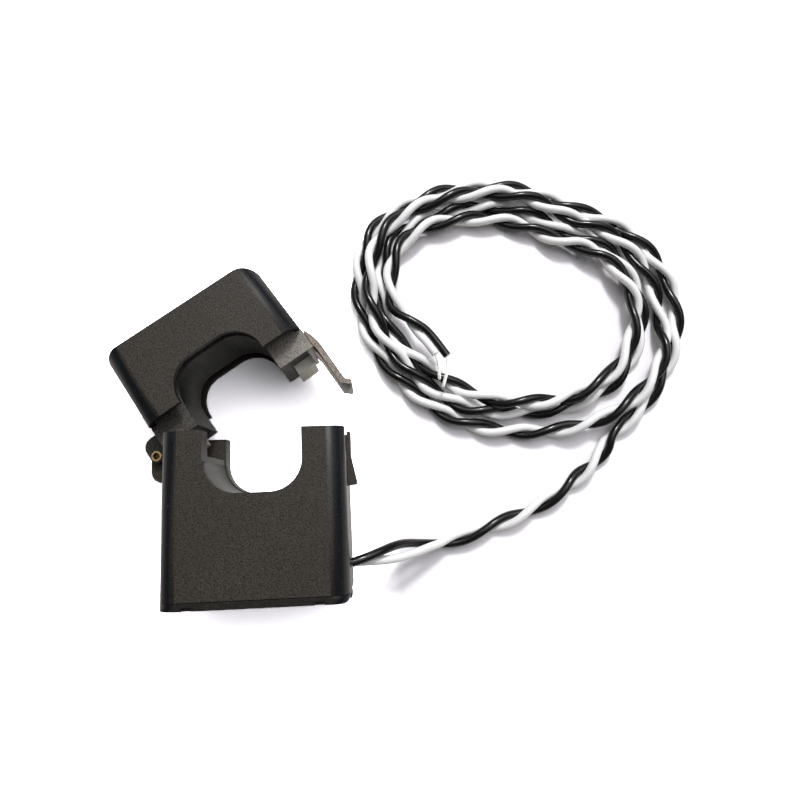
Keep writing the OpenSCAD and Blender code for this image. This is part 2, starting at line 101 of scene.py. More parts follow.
# Camera: its place, its line of sight, the direction that is up, and the shift of its frame
CAMERA_PLACE = Vector((0.029, -0.0137, 0.2007))
CAMERA_LOOK = Vector((0.047, 0.1449, -0.9883))
CAMERA_UP = Vector((0.0353, 0.9886, 0.1466))
CAMERA_SHIFT = (-0.0025, -0.0089)
# Lamp: its place, the point that it faces and its width
LAMP_PLACE = Vector((0.14, 0.55, 0.70))
LAMP_AIM = Vector((0.04, 0, 0))
LAMP_SIZE = 0.16
# Directions of the room's bright side, and of the dark patch in it
BRIGHT_SIDE = Vector((0.20, 0.40, 0.90))
DARK_PATCH = Vector((-0.15, -0.12, 0.98))
# Floor: half its width, its paleness under the lamps, the X between which its lift goes from the
# housing's to the leads', and the distances between which it turns plain white for the camera
FLOOR_HALF = 1.5
FLOOR_PALENESS = 0.8
LIFT_EDGES = (0.022, 0.036)
WHITE_EDGES = (0.20, 0.40)


# ---------------------------------------------------------------- settings


class StageSettings(bpy.types.PropertyGroup):
    """Camera, light and floor"""

    lens: FloatProperty(
        name="Focal Length", description="Focal length of the camera", default=30.74, min=10,
        unit="CAMERA",
    )
    key_power: FloatProperty(
        name="Key Power", description="Power of the large soft lamp", default=4.9, min=0,
        unit="POWER",
    )
    world_low: FloatProperty(
        name="World Low", description="Light from the dark side of the room", default=0.10, min=0,
    )
    world_high: FloatProperty(
        name="World High", description="Light from the bright side of the room", default=2.6,
        min=0,
    )
    floor_colour: FloatVectorProperty(
        name="Floor Colour", description="Colour of the floor", default=(1.0, 0.97, 0.91),
        subtype="COLOR", min=0, max=1,
    )
    shadow_tint: FloatVectorProperty(
        name="Shadow Tint", description="Tint of the floor's shadows for the camera",
        default=(0.97, 0.95, 1.0), subtype="COLOR", min=0, max=1,
    )
    floor_lift: FloatProperty(
        name="Floor Lift", description="How much paler the floor looks than it is, at the leads",
        default=1.12, min=1,
    )
    # Painted light: the larger lift round the housing paints the housing's cast shadow paler than the
    # leads' shadows
    housing_lift: FloatProperty(
        name="Housing Lift", description="How much paler the floor looks round the housing",
        default=4.2, min=1,
    )


class LeadSettings(bpy.types.PropertyGroup):
    """The two wires, their twist and their bare ends"""

    wire_diameter: FloatProperty(
        name="Wire Diameter", description="Outer diameter of one insulated wire",
        default=2.4 * MM, min=0.5 * MM, unit="LENGTH",
    )
    half_pitch: FloatProperty(
        name="Half Pitch", description="Half a turn of the twist in the coil",
        default=11.7 * MM, min=5 * MM, unit="LENGTH",
    )
    black: FloatVectorProperty(
        name="Black", description="Colour of the black insulation", default=(0.004, 0.004, 0.0042),
        subtype="COLOR", min=0, max=1,
    )
    white: FloatVectorProperty(
        name="White", description="Colour of the white insulation", default=(0.86, 0.86, 0.87),
        subtype="COLOR", min=0, max=1,
    )
    strand_count: IntProperty(
        name="Strands", description="Bare strands that show at the end of each wire",
        default=7, min=1,
    )


class HousingSettings(bpy.types.PropertyGroup):
    """Plastic of the housing and of the jaw's cover"""

    colour: FloatVectorProperty(
        name="Housing Colour", description="Colour of the housing and the jaw's cover",
        default=(0.0146, 0.0125, 0.0103), subtype="COLOR", min=0, max=1,
    )
    # Painted shade and reflection: the ungrained sides are painted darker than the grained front, and
    # bluish as a painted reflection of the dark room
    smooth: FloatVectorProperty(
        name="Side Colour", description="Colour of the smooth sides and the inner faces",
        default=(0.0040, 0.0052, 0.0085), subtype="COLOR", min=0, max=1,
    )
    edge_radius: FloatProperty(
        name="Edge Radius", description="Radius of the moulded edges", default=0.25 * MM,
        min=0, unit="LENGTH",
    )
    grain: FloatProperty(
        name="Grain Size", description="Size of the spark-eroded grain", default=0.36 * MM,
        min=0.05 * MM, unit="LENGTH",
    )


class JawSettings(bpy.types.PropertyGroup):
    """Plastics of the jaw's inner frame and the latch arm"""

    frame_colour: FloatVectorProperty(
        name="Frame Colour", description="Colour of the jaw's inner frame",
        default=(0.022, 0.020, 0.018), subtype="COLOR", min=0, max=1,
    )
    latch_colour: FloatVectorProperty(
        name="Latch Colour", description="Colour of the latch arm",
        default=(0.095, 0.080, 0.069), subtype="COLOR", min=0, max=1,
    )


class CoreSettings(bpy.types.PropertyGroup):
    """Metals of the core and the hinge pin"""

    steel: FloatVectorProperty(
        name="Steel", description="Colour of the wound core strip", default=(0.78, 0.75, 0.66),
        subtype="COLOR", min=0, max=1,
    )
    strip: FloatProperty(
        name="Strip", description="Thickness of one layer of the core strip",
        default=0.3 * MM, min=0.05 * MM, unit="LENGTH",
    )
    brass: FloatVectorProperty(
        name="Brass", description="Colour of the hinge pin", default=(0.83, 0.62, 0.30),
        subtype="COLOR", min=0, max=1,
    )


# ---------------------------------------------------------------- node helpers


def new_group(name, inputs, outputs):
    """An empty shader node group with named sockets, its input node and its output node."""
    group = bpy.data.node_groups.new(name, "ShaderNodeTree")
    for socket, kind, value in inputs:
        item = group.interface.new_socket(socket, in_out="INPUT", socket_type=kind)
        item.default_value = value
    for socket, kind in outputs:
        group.interface.new_socket(socket, in_out="OUTPUT", socket_type=kind)
    return group, group.nodes.new("NodeGroupInput"), group.nodes.new("NodeGroupOutput")


def add(tree, kind, **settings):
    """A node with its settings. The dict inputs gives a value or a socket for each input."""
    node = tree.nodes.new(kind)
    inputs = settings.pop("inputs", {})
    for name, value in settings.items():
        setattr(node, name, value)
    for name, value in inputs.items():
        if isinstance(value, bpy.types.NodeSocket):
            tree.links.new(value, node.inputs[name])
        else:
            node.inputs[name].default_value = value
    return node


def maths(tree, operation, a, b=0.0):
    """Output of a Math node on two numbers or sockets."""
    return add(tree, "ShaderNodeMath", operation=operation, inputs={0: a, 1: b}).outputs[0]


def spread(tree, value, low, high, to_low=0.0, to_high=1.0):
    """Maps value from one range onto another and clamps it."""
    node = add(tree, "ShaderNodeMapRange", inputs={
        "Value": value, "From Min": low, "From Max": high, "To Min": to_low, "To Max": to_high})
    return node.outputs["Result"]


def mix_colour(tree, factor, a, b):
    """Output of a colour Mix node between two colours or sockets."""
    node = tree.nodes.new("ShaderNodeMix")
    node.data_type = "RGBA"
    for index, value in ((0, factor), (6, a), (7, b)):
        if isinstance(value, bpy.types.NodeSocket):
            tree.links.new(value, node.inputs[index])
        elif index:
            node.inputs[index].default_value = (*value[:3], 1)
        else:
            node.inputs[index].default_value = value
    return node.outputs[2]


def along_x(tree):
    """X of the shaded point on its own piece."""
    return add(tree, "ShaderNodeSeparateXYZ", inputs={0: position(tree)}).outputs["X"]


def toward(tree, ray, direction):
    """How nearly a ray points in a direction: 1 along it, 0 across it."""
    return add(tree, "ShaderNodeVectorMath", operation="DOT_PRODUCT", inputs={
        0: ray, 1: direction.normalized()}).outputs["Value"]


def noise(tree, place, size, detail=2.0, roughness=0.5):
    """Noise value whose features are about size metres wide."""
    node = add(tree, "ShaderNodeTexNoise", inputs={
        "Vector": place, "Scale": 1 / size, "Detail": detail, "Roughness": roughness})
    return node.outputs["Fac"]


def position(tree):
    """Place of the shaded point on its own piece."""
    return add(tree, "ShaderNodeTexCoord").outputs["Object"]


# ---------------------------------------------------------------- shared effects


def grain_group():
    """Spark-eroded grain of a mould's flat front: height, speckle, and where the front is."""
    group, source, result = new_group(
        "Moulded Grain",
        [("Grain Size", "NodeSocketFloat", 0.3 * MM)],
        [("Height", "NodeSocketFloat"), ("Speckle", "NodeSocketFloat"),
            ("Front", "NodeSocketFloat")],
    )
    facing = add(group, "ShaderNodeSeparateXYZ", inputs={
        0: add(group, "ShaderNodeTexCoord").outputs["Normal"]}).outputs["Z"]
    front = spread(group, facing, 0.93, 0.998)
    scale = maths(group, "DIVIDE", 1.0, source.outputs["Grain Size"])
    place = position(group)
    coarse = add(group, "ShaderNodeTexNoise", inputs={
        "Vector": place, "Scale": scale, "Detail": 3.0, "Roughness": 0.6}).outputs["Fac"]
    pits = add(group, "ShaderNodeTexVoronoi", inputs={"Vector": place, "Scale": scale})
    pit = spread(group, pits.outputs["Distance"], 0.0, 0.7)
    height = maths(group, "ADD",
        maths(group, "MULTIPLY", coarse, 0.6), maths(group, "MULTIPLY", pit, 0.4))
    group.links.new(maths(group, "MULTIPLY", height, front), result.inputs["Height"])
    speckle = maths(group, "MULTIPLY", spread(group, height, 0.42, 0.62), front)
    group.links.new(speckle, result.inputs["Speckle"])
    group.links.new(front, result.inputs["Front"])
    return group


def wear_group():
    """Mask of rubbed edges, broken up by noise."""
    group, source, result = new_group(
        "Rubbed Edge",
        [("Width", "NodeSocketFloat", 0.4 * MM)],
        [("Mask", "NodeSocketFloat")],
    )
    bevel = add(group, "ShaderNodeBevel", samples=6, inputs={"Radius": source.outputs["Width"]})
    true_normal = add(group, "ShaderNodeNewGeometry").outputs["True Normal"]
    dot = add(group, "ShaderNodeVectorMath", operation="DOT_PRODUCT",
        inputs={0: bevel.outputs["Normal"], 1: true_normal}).outputs["Value"]
    edge = spread(group, dot, 0.995, 0.85)
    patches = spread(group, noise(group, position(group), 2.5 * MM, 3.0), 0.35, 0.7)
    group.links.new(maths(group, "MULTIPLY", edge, patches), result.inputs["Mask"])
    return group


def handling_group():
    """Broad cloudiness of a handled plastic face, and fine dust that settles on top faces."""
    group, source, result = new_group(
        "Handling",
        [("Cloud Size", "NodeSocketFloat", 12 * MM)],
        [("Cloud", "NodeSocketFloat"), ("Dust", "NodeSocketFloat")],
    )
    place = position(group)
    scale = maths(group, "DIVIDE", 1.0, source.outputs["Cloud Size"])
    cloud = add(group, "ShaderNodeTexNoise", inputs={
        "Vector": place, "Scale": scale, "Detail": 4.0}).outputs["Fac"]
    group.links.new(spread(group, cloud, 0.3, 0.7), result.inputs["Cloud"])
    specks = spread(group, noise(group, place, 0.45 * MM, 1.0), 0.70, 0.76)
    up = add(group, "ShaderNodeSeparateXYZ", inputs={
        0: add(group, "ShaderNodeNewGeometry").outputs["Normal"]}).outputs["Z"]
    dust = maths(group, "MULTIPLY", specks, spread(group, up, 0.2, 0.9))
    group.links.new(dust, result.inputs["Dust"])
    return group


def layer_group():
    """Fine parallel layers of wound strip, seen on a cut face."""
    group, source, result = new_group(
        "Wound Layers",
        [("Strip", "NodeSocketFloat", 0.3 * MM)],
        [("Line", "NodeSocketFloat"), ("Streak", "NodeSocketFloat")],
    )
    place = position(group)
    wave = add(group, "ShaderNodeTexWave", wave_type="BANDS", bands_direction="X", inputs={
        "Vector": place, "Scale": maths(group, "DIVIDE", 0.314, source.outputs["Strip"]),
        "Distortion": 0.8, "Detail": 1.0})
    group.links.new(spread(group, wave.outputs["Fac"], 0.05, 0.3), result.inputs["Line"])
    stretched = add(group, "ShaderNodeMapping", inputs={
        "Vector": place, "Scale": (1.0, 14.0, 1.0)}).outputs["Vector"]
    streak = spread(group, noise(group, stretched, 4 * MM, 3.0), 0.3, 0.7)
    group.links.new(streak, result.inputs["Streak"])
    return group


# ---------------------------------------------------------------- materials


def new_material(name):
    """A material with its Principled BSDF, and its node tree."""
    material = bpy.data.materials.new(name)
    material.use_nodes = True
    tree = material.node_tree
    return material, tree, tree.nodes["Principled BSDF"]


def use_group(tree, name, **inputs):
    """Places a shared effect in a material, with its own values."""
    node = tree.nodes.new("ShaderNodeGroup")
    node.node_tree = bpy.data.node_groups[name]
    for key, value in inputs.items():
        node.inputs[key.replace("_", " ")].default_value = value
    return node


def shade(base, amount):
    """The colour made lighter or darker by a factor."""
    return tuple(channel * amount for channel in base)


def moulded_plastic(name, colour, smooth, grain, depth, rough, wear=0.5, cloud=0.25, painted_highlight=0.0):
    """Moulded plastic with grained front faces, ungrained sides in their own colour, which is painted
    darker than the front as shade, rubbed edges, clouds and dust.

    Grain and depth are the size and the height of the grain, and rough is its range of
    roughness. Wear and cloud are the strengths of those effects, from 0 to 1, and the last
    argument, also from 0 to 1, is the strength of a painted highlight that makes the plastic
    paler towards +X.
    """
    material, tree, shader = new_material(name)
    texture = use_group(tree, "Moulded Grain", Grain_Size=grain)
    edge = use_group(tree, "Rubbed Edge", Width=0.35 * MM)
    handled = use_group(tree, "Handling", Cloud_Size=14 * MM)
    speckled = mix_colour(tree, maths(tree, "MULTIPLY", texture.outputs["Speckle"], 0.8),
        shade(colour, PIT_SHADE), shade(colour, PEAK_SHADE))
    # Painted highlight: the front is painted paler towards +X, broken up by the grain's speckle
    if painted_highlight > 0:
        patchy = spread(tree, texture.outputs["Speckle"], 0.0, 1.0, 0.45, 1.0)
        share = maths(tree, "MULTIPLY",
            spread(tree, along_x(tree), *PAINTED_HIGHLIGHT_EDGES, 0.0, painted_highlight), patchy)
        speckled = mix_colour(tree, share, speckled, shade(colour, PAINTED_HIGHLIGHT_SHADE))
    # Painted shade: faces that look along Z take the grained colour, and the others the side colour,
    # which is painted darker
    base = mix_colour(tree, texture.outputs["Front"], smooth, speckled)
    clouded = mix_colour(tree, maths(tree, "MULTIPLY", handled.outputs["Cloud"], cloud),
        base, shade(colour, CLOUD_SHADE))
    rubbed = mix_colour(tree, maths(tree, "MULTIPLY", edge.outputs["Mask"], wear),
        clouded, shade(colour, RUBBED_SHADE))
    dusty = mix_colour(tree, maths(tree, "MULTIPLY", handled.outputs["Dust"], 0.35),
        rubbed, DUST_COLOUR)
    tree.links.new(dusty, shader.inputs["Base Color"])
    tree.links.new(spread(tree, texture.outputs["Height"], 0.0, 0.7, *rough),
        shader.inputs["Roughness"])
    bump = add(tree, "ShaderNodeBump", inputs={
        "Height": texture.outputs["Height"], "Strength": 1.0, "Distance": depth})
    tree.links.new(bump.outputs["Normal"], shader.inputs["Normal"])
    shader.inputs["Specular IOR Level"].default_value = 0.2
    return material


def insulation(name, colour, other):
    """Glossy extruded insulation, faintly uneven, with scuffs."""
    material, tree, shader = new_material(name)
    place = position(tree)
    smear = spread(tree, noise(tree, place, 5 * MM, 4.0), 0.3, 0.7)
    scuff = spread(tree, noise(tree, place, 0.8 * MM, 3.0, 0.7), 0.58, 0.72)
    base = mix_colour(tree, maths(tree, "MULTIPLY", smear, 0.6), colour, other)
    tree.links.new(base, shader.inputs["Base Color"])
    rough = maths(tree, "ADD",
        spread(tree, smear, 0, 1, 0.14, 0.22), maths(tree, "MULTIPLY", scuff, 0.12))
    tree.links.new(rough, shader.inputs["Roughness"])
    bump = add(tree, "ShaderNodeBump", inputs={
        "Height": noise(tree, place, 1.6 * MM, 2.0), "Strength": 1.0, "Distance": 0.03 * MM})
    tree.links.new(bump.outputs["Normal"], shader.inputs["Normal"])
    shader.inputs["Specular IOR Level"].default_value = 0.4
    return material


def steel_core(name, colour, strip):
    """Wound silicon steel strip with ground faces."""
    material, tree, shader = new_material(name)
    layers = use_group(tree, "Wound Layers", Strip=strip)
    base = mix_colour(tree, layers.outputs["Streak"], shade(colour, 0.7), colour)
    lined = mix_colour(tree, layers.outputs["Line"], shade(colour, 0.35), base)
    tree.links.new(lined, shader.inputs["Base Color"])
    tree.links.new(spread(tree, layers.outputs["Streak"], 0, 1, 0.32, 0.5), shader.inputs["Roughness"])
    bump = add(tree, "ShaderNodeBump", inputs={
        "Height": layers.outputs["Line"], "Strength": 0.6, "Distance": 0.03 * MM})
    tree.links.new(bump.outputs["Normal"], shader.inputs["Normal"])
    shader.inputs["Metallic"].default_value = 0.15
    return material


def bright_metal(name, colour, low, high, metallic=1.0):
    """Drawn metal with fine scratches."""
    material, tree, shader = new_material(name)
    place = add(tree, "ShaderNodeMapping", inputs={
        "Vector": position(tree), "Scale": (1.0, 1.0, 9.0)}).outputs["Vector"]
    scratch = noise(tree, place, 0.5 * MM, 4.0, 0.7)
    tree.links.new(mix_colour(tree, spread(tree, scratch, 0.35, 0.65), shade(colour, 0.75), colour),
        shader.inputs["Base Color"])
    tree.links.new(spread(tree, scratch, 0.3, 0.7, low, high), shader.inputs["Roughness"])
    shader.inputs["Metallic"].default_value = metallic
    return material


def wound_wire(name, colour, pitch):
    """Close turns of enamelled wire round the yoke."""
    material, tree, shader = new_material(name)
    wave = add(tree, "ShaderNodeTexWave", bands_direction="X", inputs={
        "Vector": position(tree), "Scale": 0.314 / pitch, "Distortion": 0.3})
    tree.links.new(mix_colour(tree, wave.outputs["Fac"], shade(colour, 0.5), colour),
        shader.inputs["Base Color"])
    tree.links.new(spread(tree, wave.outputs["Fac"], 0, 1, 0.5, 0.3), shader.inputs["Roughness"])
    bump = add(tree, "ShaderNodeBump", inputs={
        "Height": wave.outputs["Fac"], "Strength": 1.0, "Distance": 0.05 * MM})
    tree.links.new(bump.outputs["Normal"], shader.inputs["Normal"])
    shader.inputs["Metallic"].default_value = 0.6
    return material


def finish_node(name, material, radius=0.0):
    """Gives a CAD node its material, and its sharp edges a small moulded radius."""
    piece = NODES[name]
    piece.data.materials.clear()
    piece.data.materials.append(material)
    if radius > 0:
        weld = piece.modifiers.new("Weld", "WELD")
        weld.merge_threshold = 0.001 * MM
        bevel = piece.modifiers.new("Edge Radius", "BEVEL")
        bevel.width = radius
        bevel.segments = 2
        bevel.limit_method = "ANGLE"
        bevel.angle_limit = SHARP_ANGLE
        bevel.use_clamp_overlap = True
        bevel.harden_normals = True


# ---------------------------------------------------------------- lead geometry


def between(keys, place):
    """Smooth value between given rows, each a place followed by numbers."""
    index = max(i for i, row in enumerate(keys[:-1]) if row[0] <= place or i == 0)
    low, high = keys[index], keys[index + 1]
    t = min(max((place - low[0]) / (high[0] - low[0]), 0), 1)
    ease = t * t * (3 - 2 * t)
    return [a + (b - a) * ease for a, b in zip(low[1:], high[1:])]


def spline(points, t):
    """Point of a Catmull-Rom curve through the points, with t from 0 to the last index."""
    index = min(int(t), len(points) - 2)
    u = t - index
    p0 = points[max(index - 1, 0)]
    p1, p2 = points[index], points[index + 1]
    p3 = points[min(index + 2, len(points) - 1)]
    return 0.5 * (2 * p1 + (p2 - p0) * u + (2 * p0 - 5 * p1 + 4 * p2 - p3) * u * u
        + (3 * p1 - p0 - 3 * p2 + p3) * u * u * u)


def reach_at(angle):
    """Reach of the outermost turn at an angle in degrees."""
    step = 360 / len(COIL_REACH)
    ring = [Vector((reach, 0)) for reach in COIL_REACH]
    ring = ring[-1:] + ring + ring[:2]
    return spline(ring, 1 + (angle % 360) / step).x


def coil_point(angle):
    """Point of the coil's middle line at an unwound angle in degrees, in millimetres."""
    inset, height = between(COIL_LANES, angle)
    reach = reach_at(angle) - inset
    turn = radians(angle)
    return Vector((COIL_MIDDLE[0] + reach * cos(turn), COIL_MIDDLE[1] + reach * sin(turn), height))


def pair_line():
    """Evenly spaced points of the pair's middle line, from the wall to its free end, in metres."""
    knots = [Vector(p) for p in LEAD_ROUTE]
    angle = COIL_LANES[0][0] + KNOT_ANGLE / 2
    while angle <= COIL_LANES[-1][0]:
        knots.append(coil_point(angle))
        angle += KNOT_ANGLE
    knots += [Vector(p) for p in LEAD_END]
    count = SPLINE_STEPS * (len(knots) - 1) + 1
    fine = [spline(knots, i / SPLINE_STEPS) * MM for i in range(count)]
    line = [fine[0]]
    left = LEAD_STEP
    for a, b in zip(fine, fine[1:]):
        length = (b - a).length
        at = left
        while at <= length:
            line.append(a.lerp(b, at / length))
            at += LEAD_STEP
        left = at - length
    return line


def half_turns(length, half_pitch):
    """Rows of distance from the wall and half turns of the twist there, in metres."""
    rows = [(place * MM, turn) for turn, place in enumerate(CROSSINGS)]
    last = length - LOOSE_END
    turns = 2 * round((last - rows[-1][0]) / half_pitch / 2)
    rows.append((last, rows[-1][1] + turns))
    rows.append((last + UNTWISTING, rows[-1][1] + 0.5))
    rows.append((length, rows[-1][1]))
    return rows


def twisted(line, side, wire, half_pitch):
    """Middle line of one wire of the pair. Side is 1 for the black wire and -1 for the white."""
    points = []
    last = len(line) - 1
    rows = half_turns(last * LEAD_STEP, half_pitch)
    for i, here in enumerate(line):
        along = (line[min(i + 1, last)] - line[max(i - 1, 0)]).normalized()
        across = Vector((0, 0, 1)).cross(along).normalized()
        up = along.cross(across)
        done = i * LEAD_STEP
        index = max(k for k, row in enumerate(rows[:-1]) if row[0] <= done + 1e-9)
        (start, low), (end, high) = rows[index], rows[index + 1]
        turns = low + (high - low) * (done - start) / (end - start)
        phase = pi / 2 - pi * turns
        bow = BOW * sin(pi * min(done / (CROSSINGS[1] * MM), 1)) ** 2
        apart = wire / 2 * (1.02 + bow)
        points.append(here + side * apart * (cos(phase) * across + sin(phase) * up))
    return points


def tube(name, lines, diameter, material):
    """Curve object with one spline for each line, given the thickness of a wire."""
    data = bpy.data.curves.new(name, "CURVE")
    data.dimensions = "3D"
    data.bevel_depth = diameter / 2
    data.bevel_resolution = 4
    data.use_fill_caps = True
    data.materials.append(material)
    for line in lines:
        strand = data.splines.new("POLY")
        strand.points.add(len(line) - 1)
        for point, place in zip(strand.points, line):
            point.co = (*place, 1)
        strand.use_smooth = True
    piece = bpy.data.objects.new(name, data)
    bpy.context.scene.collection.objects.link(piece)
    return piece


def bare_strands(name, start, along, count, bend, material):
    """Tinned strands, loosely twisted round one another, that leave a wire's end and bend."""
    up = Vector((0, 0, 1))
    side = up.cross(along).normalized()
    lines = []
    for k in range(count):
        line = []
        # The last strand runs in the middle, and the others wind round it
        spreading = 0 if k == count - 1 else 1
        for i in range(STRAND_STEPS + 1):
            t = i / STRAND_STEPS
            turn = 2 * pi * k / max(count - 1, 1) + 5 * t
            hub = (0.24 + 0.12 * t) * MM * spreading
            round_hub = hub * (cos(turn) * side + sin(turn) * up)
            sway = side * (bend * (0.5 * t + 0.5 * t * t) + 0.25 * MM * sin(5 * t))
            length = STRAND_REACH * (1 - 0.03 * (k % 3))
            line.append(start + along * length * t + round_hub + sway + up * STRAND_RISE * t)
        lines.append(line)
    return tube(name, lines, STRAND, material)


# ---------------------------------------------------------------- operators


class CT_OT_stage(bpy.types.Operator):
    """Set up the camera, the pale floor and the soft light"""

    bl_idname = "transformer.stage"
    bl_label = "Stage"

    def execute(self, context):
        settings = context.scene.transformer_stage
        self.add_camera(context, settings)
        self.add_floor(context, settings)
        self.add_light(context, settings)
        context.scene.view_settings.view_transform = "Standard"
        return {"FINISHED"}

    def add_camera(self, context, settings):
        """Camera over the transformer"""
        data = bpy.data.cameras.new("Camera")
        data.lens = settings.lens
        data.sensor_width = 36
        data.shift_x, data.shift_y = CAMERA_SHIFT
        data.clip_start = 0.01
        camera = bpy.data.objects.new("Camera", data)
        look = CAMERA_LOOK.normalized()
        right = look.cross(CAMERA_UP).normalized()
        up = right.cross(look)
        turn = Matrix((right, up, -look)).transposed().to_4x4()
        camera.matrix_world = Matrix.Translation(CAMERA_PLACE) @ turn
        context.scene.collection.objects.link(camera)
        context.scene.camera = camera

    def add_floor(self, context, settings):
        """Pale floor that keeps the shadows, and turns plain white far from the transformer"""
        data = bpy.data.meshes.new("Floor")
        square = ((-1, -1, 0), (1, -1, 0), (1, 1, 0), (-1, 1, 0))
        corners = [Vector(corner) * FLOOR_HALF for corner in square]
        data.from_pydata(corners, [], [(0, 1, 2, 3)])
        floor = bpy.data.objects.new("Floor", data)
        floor.location.z = -0.02 * MM
        context.scene.collection.objects.link(floor)
        material, tree, shader = new_material("Pale Floor")
        tree.nodes.remove(shader)
        # The floor is paler for the camera and in reflections than in the light that it throws
        rays = add(tree, "ShaderNodeLightPath").outputs
        mirrored = maths(tree, "MAXIMUM", rays["Is Glossy Ray"], rays["Is Transmission Ray"])
        # Painted light: the lift is far larger round the housing than at the leads, so the housing's
        # shadow is painted paler than theirs
        pale = spread(tree, along_x(tree), *LIFT_EDGES,
            settings.housing_lift, settings.floor_lift)
        lift = maths(tree, "ADD",
            maths(tree, "MULTIPLY", rays["Is Camera Ray"],
                maths(tree, "SUBTRACT", pale, FLOOR_PALENESS)),
            maths(tree, "MULTIPLY", mirrored, 1 - FLOOR_PALENESS))
        tint = mix_colour(tree, rays["Is Camera Ray"], settings.floor_colour,
            settings.shadow_tint)
        level = add(tree, "ShaderNodeVectorMath", operation="SCALE", inputs={
            0: tint, "Scale": maths(tree, "ADD", lift, FLOOR_PALENESS)}).outputs["Vector"]
        diffuse = add(tree, "ShaderNodeBsdfDiffuse", inputs={"Color": level}).outputs[0]
        white = add(tree, "ShaderNodeEmission").outputs[0]
        # Far off, where the light falls away, it is plain white for the camera
        distance = add(tree, "ShaderNodeVectorMath", operation="LENGTH", inputs={
            0: position(tree)}).outputs["Value"]
        far = maths(tree, "MULTIPLY", spread(tree, distance, *WHITE_EDGES), rays["Is Camera Ray"])
        surface = add(tree, "ShaderNodeMixShader", inputs={0: far, 1: diffuse, 2: white})
        tree.links.new(surface.outputs[0], tree.nodes["Material Output"].inputs["Surface"])
        data.materials.append(material)

    def add_light(self, context, settings):
        """Soft room that is white for the camera, and one large lamp"""
        world = bpy.data.worlds.new("Soft Room")
        context.scene.world = world
        world.use_nodes = True
        tree = world.node_tree
        ray = add(tree, "ShaderNodeTexCoord").outputs["Generated"]
        strength = maths(tree, "MULTIPLY",
            spread(tree, toward(tree, ray, DARK_PATCH), 0.90, 0.985, 1.0, 0.2),
            spread(tree, toward(tree, ray, BRIGHT_SIDE), 0.70, 1.0,
                settings.world_low, settings.world_high))
        # What is seen directly or through a piece is plain white
        rays = add(tree, "ShaderNodeLightPath").outputs
        seen = maths(tree, "MAXIMUM", rays["Is Camera Ray"], rays["Is Transmission Ray"])
        strength = maths(tree, "ADD", seen,
            maths(tree, "MULTIPLY", strength, maths(tree, "SUBTRACT", 1.0, seen)))
        tree.links.new(strength, tree.nodes["Background"].inputs["Strength"])
        tree.nodes["Background"].inputs["Color"].default_value = (1, 1, 1, 1)
        data = bpy.data.lights.new("Key", "AREA")
        data.energy = settings.key_power
        data.size = LAMP_SIZE
        lamp = bpy.data.objects.new("Key", data)
        lamp.location = LAMP_PLACE
        aim = LAMP_AIM - LAMP_PLACE
        lamp.rotation_euler = aim.to_track_quat("-Z", "Y").to_euler()
        context.scene.collection.objects.link(lamp)


class CT_OT_leads(bpy.types.Operator):
    """Lay the twisted black and white wires and their bare ends"""

    bl_idname = "transformer.leads"
    bl_label = "Twisted Leads"

    def execute(self, context):
        settings = context.scene.transformer_leads
        wire = settings.wire_diameter
        line = pair_line()
        tinned = bright_metal("Tinned Strand", (0.93, 0.92, 0.89), 0.3, 0.5, 0.5)
        for colour, side, uneven in (("black", 1, 1.8), ("white", -1, 0.93)):
            base = getattr(settings, colour)
            material = insulation(f"{colour.title()} Insulation", base, shade(base, uneven))
            route = twisted(line, side, wire, settings.half_pitch)
            # The white wire is cut a little shorter than the black one
            if side < 0:
                route = route[:-2]
            lead = tube(f"{colour}_wire", [route], wire, material)
            along = (route[-1] - route[-3]).normalized()
            strands = bare_strands(f"{colour}_wire_strands", route[-1] - along * MM, along,
                settings.strand_count, STRAND_BENDS[colour], tinned)
            for piece in (lead, strands):
                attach(piece, "housing")
            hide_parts("lead_tail", "lead_coil")
            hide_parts(f"{colour}_strands")
            finish_node(f"{colour}_lead_inner", material)
        return {"FINISHED"}


class CT_OT_housing(bpy.types.Operator):
    """Finish the lower housing and its base cover"""

    bl_idname = "transformer.housing"
    bl_label = "Housing"

    def execute(self, context):
        settings = context.scene.transformer_housing
        body = moulded_plastic("Housing Plastic", settings.colour, settings.smooth,
            settings.grain, 0.09 * MM, (0.34, 0.45))
        cover = moulded_plastic("Base Plastic", shade(settings.colour, 0.35), settings.smooth,
            settings.grain, 0.04 * MM, (0.3, 0.6))
        finish_node("lower_housing", body, settings.edge_radius)
        finish_node("base_cover", cover, settings.edge_radius)
        return {"FINISHED"}


class CT_OT_jaw(bpy.types.Operator):
    """Finish the jaw's cover, its inner frame and the latch arm"""

    bl_idname = "transformer.jaw"
    bl_label = "Jaw"

    def execute(self, context):
        housing = context.scene.transformer_housing
        settings = context.scene.transformer_jaw
        cover = moulded_plastic("Jaw Cover Plastic", housing.colour, housing.smooth,
            housing.grain, 0.09 * MM, (0.34, 0.45))
        # Painted highlight: the frame's front is painted paler towards +X, where light falls on it
        inner = moulded_plastic("Frame Plastic", settings.frame_colour, housing.smooth,
            0.42 * MM, 0.07 * MM, (0.3, 0.5), cloud=0.3, painted_highlight=1.0)
        # Painted shade: the latch arm's sides are its own colour at 0.4, painted darker than its front
        latch = moulded_plastic("Latch Plastic", settings.latch_colour,
            shade(settings.latch_colour, 0.4), 0.4 * MM, 0.07 * MM, (0.35, 0.6))
        finish_node("jaw_cover", cover, housing.edge_radius)
        finish_node("jaw_frame", inner, 0.15 * MM)
        finish_node("latch_arm", latch, 0.15 * MM)
        return {"FINISHED"}


